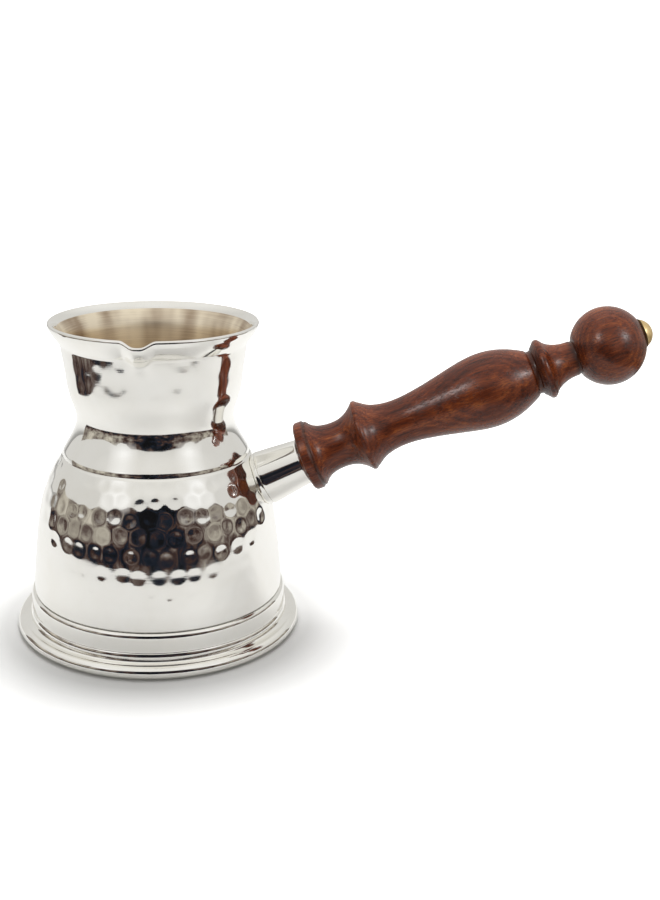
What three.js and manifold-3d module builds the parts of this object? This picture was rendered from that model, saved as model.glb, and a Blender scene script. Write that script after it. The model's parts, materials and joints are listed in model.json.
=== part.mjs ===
// A Turkish coffee pot (cezve): a hammered, silvered pot with a pinched pouring beak, standing in a
// wide foot ring with a rolled edge. A conical metal socket is brazed to the belly, and a steel tie
// rod with a brass dome nut draws a turned wooden handle onto it.
//
// Lengths are millimetres, angles degrees, +Z is up. The origin is the centre of the pot's flat
// underside. The handle rises towards +X and the beak points to -Y.

import * as THREE from "three";
import { mergeVertices } from "three/addons/utils/BufferGeometryUtils.js";
import Module from "manifold-3d";

const wasm = await Module();
wasm.setup();

// ---- Driving dimensions ----------------------------------------------------------------------

const FIT_GAP = 0.3; // left between pieces that touch on the real pot

// The pot, from the floor up.
const POT_HEIGHT = 100;
const POT_WALL = 1.2;
const SEAT_RADIUS = 39.6; // the straight lower wall that stands in the foot ring
const SEAT_HEIGHT = 12.9;
const BOTTOM_CORNER = 4;
const BELLY_RADIUS = 40.3;
const BELLY_LOW = 14.6; // height where the belly reaches its full radius
const SHOULDER_HEIGHT = 58.7; // the turned line where the hammered belly ends
const SHOULDER_RADIUS = 29.4;
const SHOULDER_STEP = 0.5;
const WAIST_HEIGHT = 70;
const WAIST_RADIUS = 24.8;
const CREASE_HEIGHT = 93.5; // where the neck turns out into the lip
const CREASE_RADIUS = 29;
const LIP_RADIUS = 32.4;

// The pouring beak, pinched out of the lip.
const BEAK_HALF_ANGLE = 11;
const BEAK_REACH = 0.8;
const BEAK_DIP = 1.4;
const BEAK_ROOT = 84; // height where the neck starts to swell towards the beak

// The foot ring.
const BAND_RADIUS = 41.3; // the straight band that holds the pot
const BAND_TOP = 12.5;
const STEP_RADIUS = 41.9; // the small step under the band
const STEP_HEIGHT = 6.9;
const BEAD_RADIUS = 2; // the rolled edge that stands on the floor
const BEAD_CENTRE = 44.1;

// The socket, on its own axis through the pot's axis.
const SOCKET_AXIS_HEIGHT = 32.7;
const SOCKET_RISE = 25.6;
const SOCKET_START = 38.4;
const SOCKET_END = 53;
const SOCKET_START_RADIUS = 8.85;
const SOCKET_END_RADIUS = 7.25;
const SOCKET_WALL = 1;
const COLLAR_RADIUS = 8.5;
const COLLAR_WALL = 1.4;
const COLLAR_START = 30;

// The handle, on its own axis: lengths run from the pot's axis.
const HANDLE_AXIS_HEIGHT = 37;
const HANDLE_RISE = 22.5;
const HANDLE_START = 51.2;
const TENON_START = 43.4;
const TENON_RADIUS = 4.7;
const FLARE_RADIUS = 11.2;
const RIDGE_START = 71.5; // the sharp ridge that ends the first cove
const RIDGE_RADIUS = 11.45;
const SWELL_START = 112.6; // the fullest place of the grip
const SWELL_RADIUS = 11.8;
const COLLAR_RIDGE = 130.85; // the ring before the ball
const COLLAR_RIDGE_RADIUS = 9.5;
const BALL_CENTRE = 151;
const BALL_RADIUS = 12.15;
const BALL_HALF_LENGTH = 11.45; // along the handle, where the ball is a little flattened
const BALL_NECK_RADIUS = 5.6;
const NUT_SEAT = 161.6; // the flat on the ball that the washer sits on

// The tie rod and what it draws together.
const ROD_RADIUS = 2;
const ROD_CLEARANCE = 0.4;
const ANCHOR_START = 40.6;
const ANCHOR_LENGTH = 3.6;
const WASHER_RADIUS = 4.6;
const WASHER_THICKNESS = 0.4;
const NUT_RADIUS = 4.3;
const NUT_HEIGHT = 2.4;
const NUT_HOLE_DEPTH = 1.3;

// How finely round things are cut.
const POT_SIDES = 48;
const HANDLE_SIDES = 24;
const FITTING_SIDES = 20;

// ---- Materials -------------------------------------------------------------------------------

const silvered = { color: 0xdedad2, roughness: 0.12, metalness: 1 };
const brass = { color: 0xc9a252, roughness: 0.28, metalness: 1 };
const steel = { color: 0x9b9ea3, roughness: 0.35, metalness: 1 };
const walnut = { color: 0x6a2e18, roughness: 0.35, metalness: 0 };

// ---- Profiles and solids ---------------------------------------------------------------------

const at = (x, y) => new THREE.Vector2(x, y);

// A smooth outline through a few places, as [x, y] pairs.
function smooth(places, steps) {
  return new THREE.SplineCurve(places.map(([x, y]) => at(x, y))).getPoints(steps);
}

// Part of a circle, from one angle in degrees to another.
function arc(x, y, radius, from, to, steps) {
  const start = THREE.MathUtils.degToRad(from);
  const end = THREE.MathUtils.degToRad(to);
  return new THREE.EllipseCurve(x, y, radius, radius, start, end, end < start).getPoints(steps);
}

// Revolves an outline of (radius, height) points about +Z, starting on the -Y side.
function spunUp(outline, sides) {
  return new THREE.LatheGeometry(outline, sides).rotateX(Math.PI / 2);
}

// Revolves an outline of (distance, radius) points about +X.
function turned(outline, sides) {
  const profile = outline.map((p) => at(p.y, p.x));
  return new THREE.LatheGeometry(profile, sides).rotateZ(-Math.PI / 2);
}

// A straight-sided tube along +X, whose radii may differ at its two ends.
function taperedTube(start, end, outerStart, outerEnd, innerStart, innerEnd, sides) {
  const outline = [
    at(start, innerStart),
    at(start, outerStart),
    at(end, outerEnd),
    at(end, innerEnd),
    at(start, innerStart),
  ];
  return turned(outline, sides);
}

// A straight rod along +X.
function rod(start, end, radius, sides) {
  return turned([at(start, 0), at(start, radius), at(end, radius), at(end, 0)], sides);
}

function solidOf(geometry) {
  const bare = geometry.clone();
  bare.deleteAttribute("normal");
  bare.deleteAttribute("uv");
  const merged = mergeVertices(bare, 1e-3);
  const vertProperties = merged.getAttribute("position").array;
  const triVerts = new Uint32Array(merged.index.array);
  return new wasm.Manifold(new wasm.Mesh({ numProp: 3, vertProperties, triVerts }));
}

function geometryOf(solid) {
  const mesh = solid.getMesh();
  const geometry = new THREE.BufferGeometry();
  geometry.setAttribute("position", new THREE.BufferAttribute(mesh.vertProperties, mesh.numProp));
  geometry.setIndex(new THREE.BufferAttribute(mesh.triVerts, 1));
  geometry.computeVertexNormals();
  return geometry;
}

function piece(name, geometry, look) {
  const mesh = new THREE.Mesh(geometry, new THREE.MeshStandardMaterial(look));
  mesh.name = name;
  return mesh;
}

// A group whose +X runs along a rising axis that starts on the pot's axis.
function risingGroup(height, rise) {
  const group = new THREE.Group();
  group.position.z = height;
  group.rotation.y = -THREE.MathUtils.degToRad(rise);
  group.updateMatrixWorld();
  return group;
}

// A geometry made in one group's axes, carried over into another's.
function carried(geometry, from, to) {
  const matrix = to.matrixWorld.clone().invert().multiply(from.matrixWorld);
  return geometry.clone().applyMatrix4(matrix);
}

// ---- The pot ---------------------------------------------------------------------------------

// The outside wall, as (radius, height) from the bottom corner to the crease under the lip.
function potWall() {
  const corner = arc(SEAT_RADIUS - BOTTOM_CORNER, BOTTOM_CORNER, BOTTOM_CORNER, -90, 0, 3);
  const seat = [at(SEAT_RADIUS, SEAT_HEIGHT)];
  const belly = smooth(
    [
      [BELLY_RADIUS, BELLY_LOW],
      [BELLY_RADIUS - 0.8, BELLY_LOW + 9.5],
      [BELLY_RADIUS - 2.1, BELLY_LOW + 21.5],
      [BELLY_RADIUS - 4.4, BELLY_LOW + 31.5],
      [BELLY_RADIUS - 7, BELLY_LOW + 37.5],
      [SHOULDER_RADIUS + SHOULDER_STEP, SHOULDER_HEIGHT - 0.6],
    ],
    8,
  );
  const neck = smooth(
    [
      [SHOULDER_RADIUS, SHOULDER_HEIGHT],
      [WAIST_RADIUS + 1.6, WAIST_HEIGHT - 6],
      [WAIST_RADIUS, WAIST_HEIGHT],
      [WAIST_RADIUS + 1.6, WAIST_HEIGHT + 6],
      [WAIST_RADIUS + 3.3, WAIST_HEIGHT + 15],
      [CREASE_RADIUS, CREASE_HEIGHT],
    ],
    9,
  );
  return [...corner, ...seat, ...belly, ...neck];
}

// The flared lip above the crease, over its rounded edge to the inside.
function lip() {
  const edge = POT_WALL / 2;
  const flare = [at(CREASE_RADIUS + 1.6, CREASE_HEIGHT + 2.5), at(LIP_RADIUS - 0.2, POT_HEIGHT - 1.6)];
  const rim = arc(LIP_RADIUS - edge, POT_HEIGHT - edge, edge, 0, 180, 4);
  return [...flare, ...rim];
}

// The sheet's inside is the same wall, drawn in by the metal's thickness.
function potLining(wall) {
  const inside = wall.filter((p) => p.y > BOTTOM_CORNER).map((p) => at(p.x - POT_WALL, p.y));
  const flare = at(CREASE_RADIUS + 1.6 - POT_WALL, CREASE_HEIGHT + 2.5);
  const floorRadius = SEAT_RADIUS - BOTTOM_CORNER;
  return [flare, ...inside.reverse(), at(floorRadius, POT_WALL), at(0, POT_WALL)];
}

// Pinches the lip and the top of the neck out towards -Y, and lets the edge dip there.
function pinchBeak(geometry) {
  const position = geometry.getAttribute("position");
  const half = THREE.MathUtils.degToRad(BEAK_HALF_ANGLE);
  for (let i = 0; i < position.count; i += 1) {
    const [x, y, z] = [position.getX(i), position.getY(i), position.getZ(i)];
    const angle = Math.abs(Math.atan2(x, -y));
    const across = Math.max(0, 1 - angle / half);
    const up = THREE.MathUtils.smoothstep(z, BEAK_ROOT, POT_HEIGHT - 2);
    const radius = Math.hypot(x, y);
    if (across === 0 || up === 0 || radius === 0) continue;
    const stretch = 1 + (BEAK_REACH * across * up) / radius;
    const atLip = THREE.MathUtils.smoothstep(z, CREASE_HEIGHT, POT_HEIGHT - 1);
    position.setXYZ(i, x * stretch, y * stretch, z - BEAK_DIP * across * atLip);
  }
  return geometry;
}

function potBody() {
  const wall = potWall();
  const outline = [at(0, 0), ...wall, ...lip(), ...potLining(wall)];
  return piece("pot_body", pinchBeak(spunUp(outline, POT_SIDES)), silvered);
}

// A solid plug as large as the pot with the fitting gap round it, for cutting saddles.
function potEnvelope() {
  const wall = potWall().map((p) => at(p.x + FIT_GAP, p.y));
  return spunUp([at(0, 0), ...wall, at(0, CREASE_HEIGHT)], POT_SIDES);
}

// ---- The foot ring ---------------------------------------------------------------------------

// A band round the pot's lower wall, a small step, a hollow and a rolled edge. The inside follows
// the same sheet, so that the ring is a hollow brim that stands on its bead.
function footRing() {
  const inner = SEAT_RADIUS + FIT_GAP;
  const bead = arc(BEAD_CENTRE, BEAD_RADIUS, BEAD_RADIUS, 125, -170, 9);
  const outline = [
    at(inner, BAND_TOP),
    at(BAND_RADIUS - 0.4, BAND_TOP),
    at(BAND_RADIUS, BAND_TOP - 0.4),
    at(BAND_RADIUS, STEP_HEIGHT + 0.5),
    at(STEP_RADIUS, STEP_HEIGHT),
    at(STEP_RADIUS + 0.3, STEP_HEIGHT - 0.6),
    at(STEP_RADIUS + 0.3, STEP_HEIGHT - 1.8),
    ...bead,
    at(STEP_RADIUS - 1, STEP_HEIGHT - 1.8),
    at(inner, STEP_HEIGHT - 0.6),
    at(inner, BAND_TOP),
  ];
  return piece("foot_ring", spunUp(outline.reverse(), POT_SIDES), silvered);
}

// ---- The socket ------------------------------------------------------------------------------

const potAxes = new THREE.Group();
const socketAxes = risingGroup(SOCKET_AXIS_HEIGHT, SOCKET_RISE);
const handleAxes = risingGroup(HANDLE_AXIS_HEIGHT, HANDLE_RISE);

// Outside radius of the tapered socket at a distance along its axis.
function socketRadius(distance) {
  const share = (distance - SOCKET_START) / (SOCKET_END - SOCKET_START);
  return THREE.MathUtils.lerp(SOCKET_START_RADIUS, SOCKET_END_RADIUS, share);
}

// A short stub, saddle-cut to the belly, that carries the socket.
function socketCollar() {
  const end = SOCKET_START - FIT_GAP;
  const inner = COLLAR_RADIUS - COLLAR_WALL;
  const tube = taperedTube(COLLAR_START, end, COLLAR_RADIUS, COLLAR_RADIUS, inner, inner, FITTING_SIDES);
  const pot = carried(potEnvelope(), potAxes, socketAxes);
  return piece("socket_collar", geometryOf(solidOf(tube).subtract(solidOf(pot))), silvered);
}

// The conical socket, its outer end trimmed parallel to the handle's face.
function handleSocket() {
  const tube = taperedTube(
    SOCKET_START,
    SOCKET_END,
    SOCKET_START_RADIUS,
    SOCKET_END_RADIUS,
    SOCKET_START_RADIUS - SOCKET_WALL,
    SOCKET_END_RADIUS - SOCKET_WALL,
    FITTING_SIDES,
  );
  const face = rod(HANDLE_START - FIT_GAP, HANDLE_START + 10, 2 * FLARE_RADIUS, FITTING_SIDES);
  const trimmed = solidOf(tube).subtract(solidOf(carried(face, handleAxes, socketAxes)));
  return piece("handle_socket", geometryOf(trimmed), silvered);
}

// A plug fixed inside the socket, bored along the handle's axis for the tie rod's thread.
function rodAnchor() {
  const end = ANCHOR_START + ANCHOR_LENGTH;
  const slack = SOCKET_WALL + FIT_GAP;
  const plug = turned(
    [
      at(ANCHOR_START, 0),
      at(ANCHOR_START, socketRadius(ANCHOR_START) - slack),
      at(end, socketRadius(end) - slack),
      at(end, 0),
    ],
    FITTING_SIDES,
  );
  const bore = rod(ANCHOR_START - 10, end + 10, ROD_RADIUS + FIT_GAP, FITTING_SIDES);
  const bored = solidOf(plug).subtract(solidOf(carried(bore, handleAxes, socketAxes)));
  return piece("rod_anchor", geometryOf(bored), brass);
}

// ---- The handle ------------------------------------------------------------------------------

// The turned outline, as (distance, radius) from the face at the socket to the nut's flat.
function handleOutline() {
  const edge = 1.2;
  const face = arc(HANDLE_START + edge, FLARE_RADIUS - edge, edge, 180, 90, 2);
  const firstCove = smooth(
    [
      [HANDLE_START + 3.2, FLARE_RADIUS],
      [HANDLE_START + 5, 9.45],
      [HANDLE_START + 7.9, 7.85],
      [HANDLE_START + 11.2, 7.4],
      [RIDGE_START - 4.7, 8.1],
      [RIDGE_START - 1.9, 9.9],
      [RIDGE_START, RIDGE_RADIUS],
    ],
    9,
  );
  const grip = smooth(
    [
      [RIDGE_START + 1, RIDGE_RADIUS - 0.4],
      [RIDGE_START + 3.8, 9.05],
      [RIDGE_START + 7, 7.75],
      [RIDGE_START + 11.5, 7.35],
      [SWELL_START - 22.2, 7.95],
      [SWELL_START - 10.6, 10.3],
      [SWELL_START, SWELL_RADIUS],
      [SWELL_START + 7.4, 10.6],
      [SWELL_START + 12.8, 8.2],
      [COLLAR_RIDGE - 3.6, 7.2],
    ],
    13,
  );
  const ring = smooth(
    [
      [COLLAR_RIDGE - 2.7, 7.25],
      [COLLAR_RIDGE - 0.9, COLLAR_RIDGE_RADIUS - 0.5],
      [COLLAR_RIDGE, COLLAR_RIDGE_RADIUS],
      [COLLAR_RIDGE + 0.9, COLLAR_RIDGE_RADIUS - 0.4],
      [COLLAR_RIDGE + 3.6, 6.7],
      [COLLAR_RIDGE + 7.2, 5.6],
    ],
    8,
  );
  const neckAngle = Math.PI - Math.asin(BALL_NECK_RADIUS / BALL_RADIUS);
  const seatAngle = Math.acos((NUT_SEAT - BALL_CENTRE) / BALL_HALF_LENGTH);
  const ball = new THREE.EllipseCurve(BALL_CENTRE, 0, BALL_HALF_LENGTH, BALL_RADIUS, neckAngle, seatAngle, true);
  return [...face, ...firstCove, ...grip, ...ring, ...ball.getPoints(9)];
}

// One turning: the tenon that enters the socket, the grip and the ball, bored for the tie rod.
function woodenHandle() {
  const bore = ROD_RADIUS + ROD_CLEARANCE;
  const outline = [
    at(TENON_START, bore),
    at(TENON_START, TENON_RADIUS),
    at(HANDLE_START, TENON_RADIUS),
    ...handleOutline(),
    at(NUT_SEAT, bore),
    at(TENON_START, bore),
  ];
  return piece("wooden_handle", turned(outline, HANDLE_SIDES), walnut);
}

// ---- The tie rod and its fastening -----------------------------------------------------------

const WASHER_START = NUT_SEAT + FIT_GAP;
const NUT_START = WASHER_START + WASHER_THICKNESS + FIT_GAP;

function tieRod() {
  const end = NUT_START + NUT_HOLE_DEPTH - FIT_GAP;
  return piece("tie_rod", rod(ANCHOR_START - 1.5, end, ROD_RADIUS, FITTING_SIDES), steel);
}

function washer() {
  const hole = ROD_RADIUS + FIT_GAP;
  const end = WASHER_START + WASHER_THICKNESS;
  const ring = taperedTube(WASHER_START, end, WASHER_RADIUS, WASHER_RADIUS, hole, hole, FITTING_SIDES);
  return piece("washer", ring, brass);
}

// A low dome, part of a ball, with a blind threaded hole.
function domeNut() {
  const hole = ROD_RADIUS + FIT_GAP;
  const ballRadius = (NUT_RADIUS ** 2 + NUT_HEIGHT ** 2) / (2 * NUT_HEIGHT);
  const centre = NUT_START + NUT_HEIGHT - ballRadius;
  const baseAngle = THREE.MathUtils.radToDeg(Math.atan2(NUT_RADIUS, NUT_START - centre));
  const outline = [
    at(NUT_START + NUT_HOLE_DEPTH, 0),
    at(NUT_START + NUT_HOLE_DEPTH, hole),
    at(NUT_START, hole),
    ...arc(centre, 0, ballRadius, baseAngle, 0, 5),
  ];
  return piece("dome_nut", turned(outline, FITTING_SIDES), brass);
}

// ---- Assembly --------------------------------------------------------------------------------

potAxes.add(potBody(), footRing());
socketAxes.add(socketCollar(), handleSocket(), rodAnchor());
handleAxes.add(woodenHandle(), tieRod(), washer(), domeNut());

const coffeePot = new THREE.Group();
coffeePot.add(potAxes, socketAxes, handleAxes);

export default coffeePot;
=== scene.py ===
# %% [markdown]
# # A Turkish coffee pot in Blender
#
# The pot is made of nine pieces: a hammered metal pot, a wide foot ring, a short collar and a
# conical socket, a turned wooden handle, and a steel rod, an anchor, a washer and a brass dome nut
# that hold the handle on. A plain working model of them is loaded first, as a fixed frame. Each
# piece that shows is then made again as a fine mesh in the same place, and given its real finish.
#
# Lengths are written in millimetres and turned into metres where a mesh is made.

import math

import bpy
import numpy as np
from mathutils import Matrix, Vector
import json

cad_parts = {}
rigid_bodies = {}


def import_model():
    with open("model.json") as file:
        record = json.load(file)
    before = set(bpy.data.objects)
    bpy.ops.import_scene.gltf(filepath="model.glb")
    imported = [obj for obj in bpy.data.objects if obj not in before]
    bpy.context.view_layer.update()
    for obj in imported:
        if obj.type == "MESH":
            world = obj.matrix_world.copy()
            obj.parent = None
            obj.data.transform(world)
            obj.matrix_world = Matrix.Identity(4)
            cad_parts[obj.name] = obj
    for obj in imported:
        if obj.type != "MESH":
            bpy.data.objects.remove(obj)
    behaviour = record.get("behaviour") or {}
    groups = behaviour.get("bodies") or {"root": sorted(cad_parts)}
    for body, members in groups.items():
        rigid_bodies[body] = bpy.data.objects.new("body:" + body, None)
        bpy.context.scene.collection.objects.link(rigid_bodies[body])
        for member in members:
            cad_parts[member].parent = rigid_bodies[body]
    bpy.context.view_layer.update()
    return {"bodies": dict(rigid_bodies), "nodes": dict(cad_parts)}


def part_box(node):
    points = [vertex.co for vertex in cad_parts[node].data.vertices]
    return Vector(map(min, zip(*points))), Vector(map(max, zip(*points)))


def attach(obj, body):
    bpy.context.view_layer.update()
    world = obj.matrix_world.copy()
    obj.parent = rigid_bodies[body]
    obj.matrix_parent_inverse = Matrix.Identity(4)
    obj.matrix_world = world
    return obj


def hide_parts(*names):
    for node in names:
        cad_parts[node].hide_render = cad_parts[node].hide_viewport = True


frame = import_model()
MM = 0.001
BODY = next(iter(frame["bodies"]))
print("pieces in the frame:", sorted(frame["nodes"]), "on body", BODY)

# %% [markdown]
# ## The camera
#
# The camera stands in front of the pot and a little to the handle's side, and looks down by about
# 17.5 degrees. Its aim is given as a heading, a pitch and a small roll, because a hand-held camera
# is never quite level. The lens is a normal one, a little longer than the picture's tall side, and
# the frame is shifted sideways to leave room for the handle.

# %% Place the camera
CAMERA_PLACE = (0.0534, -0.3532, 0.1704)
CAMERA_HEADING = 1.95  # degrees from +Y towards -X
CAMERA_PITCH = 17.53  # degrees down
CAMERA_ROLL = 0.8
LENS = 46.58
SENSOR = 36
SIDE_SHIFT = 0.049


def put_in_scene(name, data):
    """Makes an object from its data and puts it in the scene."""
    made = bpy.data.objects.new(name, data)
    bpy.context.scene.collection.objects.link(made)
    return made


def make_camera():
    data = bpy.data.cameras.new("camera")
    data.lens = LENS
    data.sensor_width = SENSOR
    data.shift_x = SIDE_SHIFT
    camera = put_in_scene("camera", data)
    turn = Matrix.Rotation(math.radians(CAMERA_HEADING), 4, "Z")
    tip = Matrix.Rotation(math.radians(90 - CAMERA_PITCH), 4, "X")
    roll = Matrix.Rotation(math.radians(CAMERA_ROLL), 4, "Z")
    camera.matrix_world = Matrix.Translation(CAMERA_PLACE) @ turn @ tip @ roll
    bpy.context.scene.camera = camera


make_camera()
print("lens", LENS, "mm, shift", SIDE_SHIFT)

# %% [markdown]
# ## Lines and spun shapes
#
# Almost every piece here was made on a lathe, so it is a flat outline turned about an axis. An
# outline is a list of (radius, height) places. A natural cubic curve through a few places gives a
# line whose bend changes evenly, and polished metal shows any place where it doesn't. Parts of
# circles make the rounded edges.

# %% Lines


def curve_through(places, step):
    """A smooth line through a few places, with a point about every step."""
    p = np.array(places, float)
    lengths = np.hypot(*np.diff(p, axis=0).T)
    at = np.concatenate([[0], np.cumsum(lengths)])
    n = len(p)
    system = np.eye(n)
    right = np.zeros((n, 2))
    for i in range(1, n - 1):
        before, after = lengths[i - 1], lengths[i]
        system[i, i - 1 : i + 2] = before, 2 * (before + after), after
        right[i] = 6 * ((p[i + 1] - p[i]) / after - (p[i] - p[i - 1]) / before)
    bend = np.linalg.solve(system, right)
    t = np.linspace(0, at[-1], max(2, int(round(at[-1] / step)) + 1))
    i = np.clip(np.searchsorted(at, t, side="right") - 1, 0, n - 2)
    h = lengths[i][:, None]
    a = (at[i + 1] - t)[:, None]
    b = (t - at[i])[:, None]
    line = (bend[i] * a**3 + bend[i + 1] * b**3) / (6 * h)
    line += (p[i] / h - bend[i] * h / 6) * a + (p[i + 1] / h - bend[i + 1] * h / 6) * b
    return line


def arc(centre, radii, start, end, count):
    """Part of an ellipse, from one angle in degrees to another."""
    angles = np.radians(np.linspace(start, end, count))
    return np.column_stack([centre[0] + radii[0] * np.cos(angles), centre[1] + radii[1] * np.sin(angles)])


def straight(start, end, step):
    """A straight line with a point about every step."""
    start, end = np.array(start, float), np.array(end, float)
    count = max(2, int(round(np.hypot(*(end - start)) / step)) + 1)
    return start + (end - start) * np.linspace(0, 1, count)[:, None]


def joined(*lines):
    """One outline from several lines. Places that repeat are kept once."""
    every = np.concatenate([np.atleast_2d(np.array(line, float)) for line in lines])
    keep = np.concatenate([[True], np.hypot(*np.diff(every, axis=0).T) > 1e-4])
    return every[keep]


print("a curve through three places:", len(curve_through([(0, 0), (1, 2), (3, 3)], 0.5)), "points")

# %% Spun meshes


def spun_points(outline, sides):
    """Turns (radius, height) places about the Z axis: an array of places, rows by sides."""
    angles = np.arange(sides) * 2 * math.pi / sides
    radius, height = outline[:, :1], outline[:, 1:]
    return np.stack([radius * np.cos(angles), radius * np.sin(angles), height + 0 * angles], axis=2)


def shell_faces(rows, sides, closed):
    """Four-sided faces between the rows. A closed shell also joins the last row to the first."""
    row = np.arange(rows if closed else rows - 1)[:, None]
    side = np.arange(sides)[None, :]
    next_row, next_side = (row + 1) % rows, (side + 1) % sides
    corners = [(row, side), (row, next_side), (next_row, next_side), (next_row, side)]
    numbers = [r * sides + s for r, s in corners]
    return np.stack(np.broadcast_arrays(*numbers), axis=2).reshape(-1, 4)


def mesh_from_rows(name, points, closed, materials, row_material=None):
    """Makes an object from rows of points in millimetres. Each end of an open shell is closed by one
    point in its middle, with three-sided faces round it, and its rows may differ in material."""
    rows, sides = points.shape[:2]
    places = points.reshape(-1, 3)
    faces = [tuple(f) for f in shell_faces(rows, sides, closed)]
    if not closed:
        low, high = len(places), len(places) + 1
        places = np.concatenate([places, [points[0].mean(axis=0)], [points[-1].mean(axis=0)]])
        faces += [(low, (s + 1) % sides, s) for s in range(sides)]
        last = (rows - 1) * sides
        faces += [(high, last + s, last + (s + 1) % sides) for s in range(sides)]
    mesh = bpy.data.meshes.new(name)
    mesh.from_pydata((places * MM).tolist(), [], faces)
    mesh.shade_smooth()
    for material in materials:
        mesh.materials.append(material)
    if row_material is not None:
        slots = [*row_material[:-1], row_material[0], row_material[-1]]
        mesh.polygons.foreach_set("material_index", np.repeat(slots, sides).astype(np.int32))
    return put_in_scene(name, mesh)


def belongs(piece, node):
    """The piece stands for a node of the frame, whose plain piece is hidden, and moves with the pot."""
    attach(piece, BODY)
    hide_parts(node)
    print(piece.name, "has", len(piece.data.polygons), "faces")
    return piece


# %% [markdown]
# ## Shared surface effects
#
# Three effects turn up on more than one finish, so each is a node group with named inputs. Turned
# lines are the fine rings that a lathe tool or a polishing cloth leaves. Handling marks are the
# soft blotches of touch, age and uneven polish. Fine scratches are the hair lines that only show
# where light catches them. Each group gives plain values, and the shader stays in the material.

# %% Node group helpers


def new_group(name, inputs, outputs):
    """An empty node group with named number inputs and outputs."""
    group = bpy.data.node_groups.new(name, "ShaderNodeTree")
    for socket, value in inputs.items():
        made = group.interface.new_socket(name=socket, in_out="INPUT", socket_type="NodeSocketFloat")
        made.default_value = value
    group.interface.new_socket(name="Place", in_out="INPUT", socket_type="NodeSocketVector")
    for socket in outputs:
        group.interface.new_socket(name=socket, in_out="OUTPUT", socket_type="NodeSocketFloat")
    return group, group.nodes.new("NodeGroupInput"), group.nodes.new("NodeGroupOutput")


def fill(tree, made, values):
    """Fills a node's inputs. Each value is a plain one, or the output of another node to join on."""
    for socket, value in values.items():
        if isinstance(value, bpy.types.NodeSocket):
            tree.links.new(value, made.inputs[socket])
        else:
            made.inputs[socket].default_value = value


def node(tree, kind, values=None, **settings):
    """Adds a node, with settings by name and inputs by socket name or number."""
    made = tree.nodes.new(kind)
    for key, value in settings.items():
        setattr(made, key, value)
    fill(tree, made, values or {})
    return made


def maths(tree, operation, *numbers):
    """A math node fed by sockets or plain numbers; returns its result."""
    return node(tree, "ShaderNodeMath", dict(enumerate(numbers)), operation=operation).outputs[0]


def weighted(tree, *pairs):
    """The sum of some values, each times its own weight."""
    total = None
    for value, weight in pairs:
        part = maths(tree, "MULTIPLY", value, weight)
        total = part if total is None else maths(tree, "ADD", total, part)
    return total


def apart(tree, value, middle):
    """How far a value is from a number, either way."""
    return maths(tree, "ABSOLUTE", maths(tree, "SUBTRACT", value, middle))


def ranged(tree, value, low, high, new_low, new_high):
    """Spreads a value from one range to another, without going past the ends."""
    ends = {"From Min": low, "From Max": high, "To Min": new_low, "To Max": new_high}
    return node(tree, "ShaderNodeMapRange", {"Value": value, **ends}).outputs["Result"]


def split_up(tree, place):
    """The place's X, Y and Z, one by one."""
    return node(tree, "ShaderNodeSeparateXYZ", {0: place}).outputs


def enlarged(tree, place, scale):
    """The place, scaled evenly by a value."""
    return node(tree, "ShaderNodeVectorMath", {0: place, "Scale": scale}, operation="SCALE").outputs[0]


def stretched(tree, place, scale):
    """The place, scaled by different amounts along its three axes."""
    return node(tree, "ShaderNodeMapping", {"Vector": place, "Scale": scale}).outputs["Vector"]


def noise(tree, place, scale, detail=2.0, roughness=0.5, distortion=0.0):
    """Soft noise from about 0 to 1 at a place."""
    values = {"Scale": scale, "Detail": detail, "Roughness": roughness, "Distortion": distortion}
    return node(tree, "ShaderNodeTexNoise", {"Vector": place, **values}).outputs["Fac"]


# %% The three groups


def turned_lines_group():
    """Rings about Z: radius hardly counts, and height counts a great deal."""
    group, given, out = new_group("turned lines", {"Lines per mm": 4.0}, ["Height"])
    place = split_up(group, given.outputs["Place"])
    dense = maths(group, "MULTIPLY", given.outputs["Lines per mm"], 1 / MM)
    height = maths(group, "MULTIPLY", place["Z"], dense)
    around = maths(group, "ARCTAN2", place["Y"], place["X"])
    turned = {"X": height, "Y": maths(group, "SINE", around), "Z": maths(group, "COSINE", around)}
    packed = node(group, "ShaderNodeCombineXYZ", turned)
    fill(group, out, {"Height": noise(group, packed.outputs[0], 1.0, 3.0, 0.65)})
    return group


def handling_marks_group():
    """Blotches a few millimetres across, broken up by smaller ones."""
    group, given, out = new_group("handling marks", {"Size mm": 12.0}, ["Amount"])
    scale = maths(group, "DIVIDE", 1 / MM, given.outputs["Size mm"])
    bigger = enlarged(group, given.outputs["Place"], scale)
    blotches = noise(group, bigger, 1.0, 5.0, 0.6, 0.4)
    fill(group, out, {"Amount": ranged(group, blotches, 0.38, 0.66, 0.0, 1.0)})
    return group


def fine_scratches_group():
    """Hair lines in two directions, from noise drawn out along each of them."""
    group, given, out = new_group("fine scratches", {"Per mm": 5.0}, ["Height"])
    scale = maths(group, "MULTIPLY", given.outputs["Per mm"], 1 / MM)
    bigger = enlarged(group, given.outputs["Place"], scale)
    across = noise(group, stretched(group, bigger, (0.04, 0.05, 1.0)), 1.0, 2.0)
    down = noise(group, stretched(group, bigger, (0.9, 0.8, 0.05)), 1.0, 2.0)
    fill(group, out, {"Height": maths(group, "ADD", across, down)})
    return group


turned_lines = turned_lines_group()
handling_marks = handling_marks_group()
fine_scratches = fine_scratches_group()
print("shared effects:", turned_lines.name, "|", handling_marks.name, "|", fine_scratches.name)

# %% Material helpers
AMOUNT, FIRST, SECOND, MIXED = 0, 6, 7, 2  # where a colour mix node has its sockets


def new_material(name):
    """A material with one Principled shader; returns it, its tree and the shader."""
    material = bpy.data.materials.new(name)
    material.use_nodes = True
    tree = material.node_tree
    return material, tree, tree.nodes["Principled BSDF"]


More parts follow.
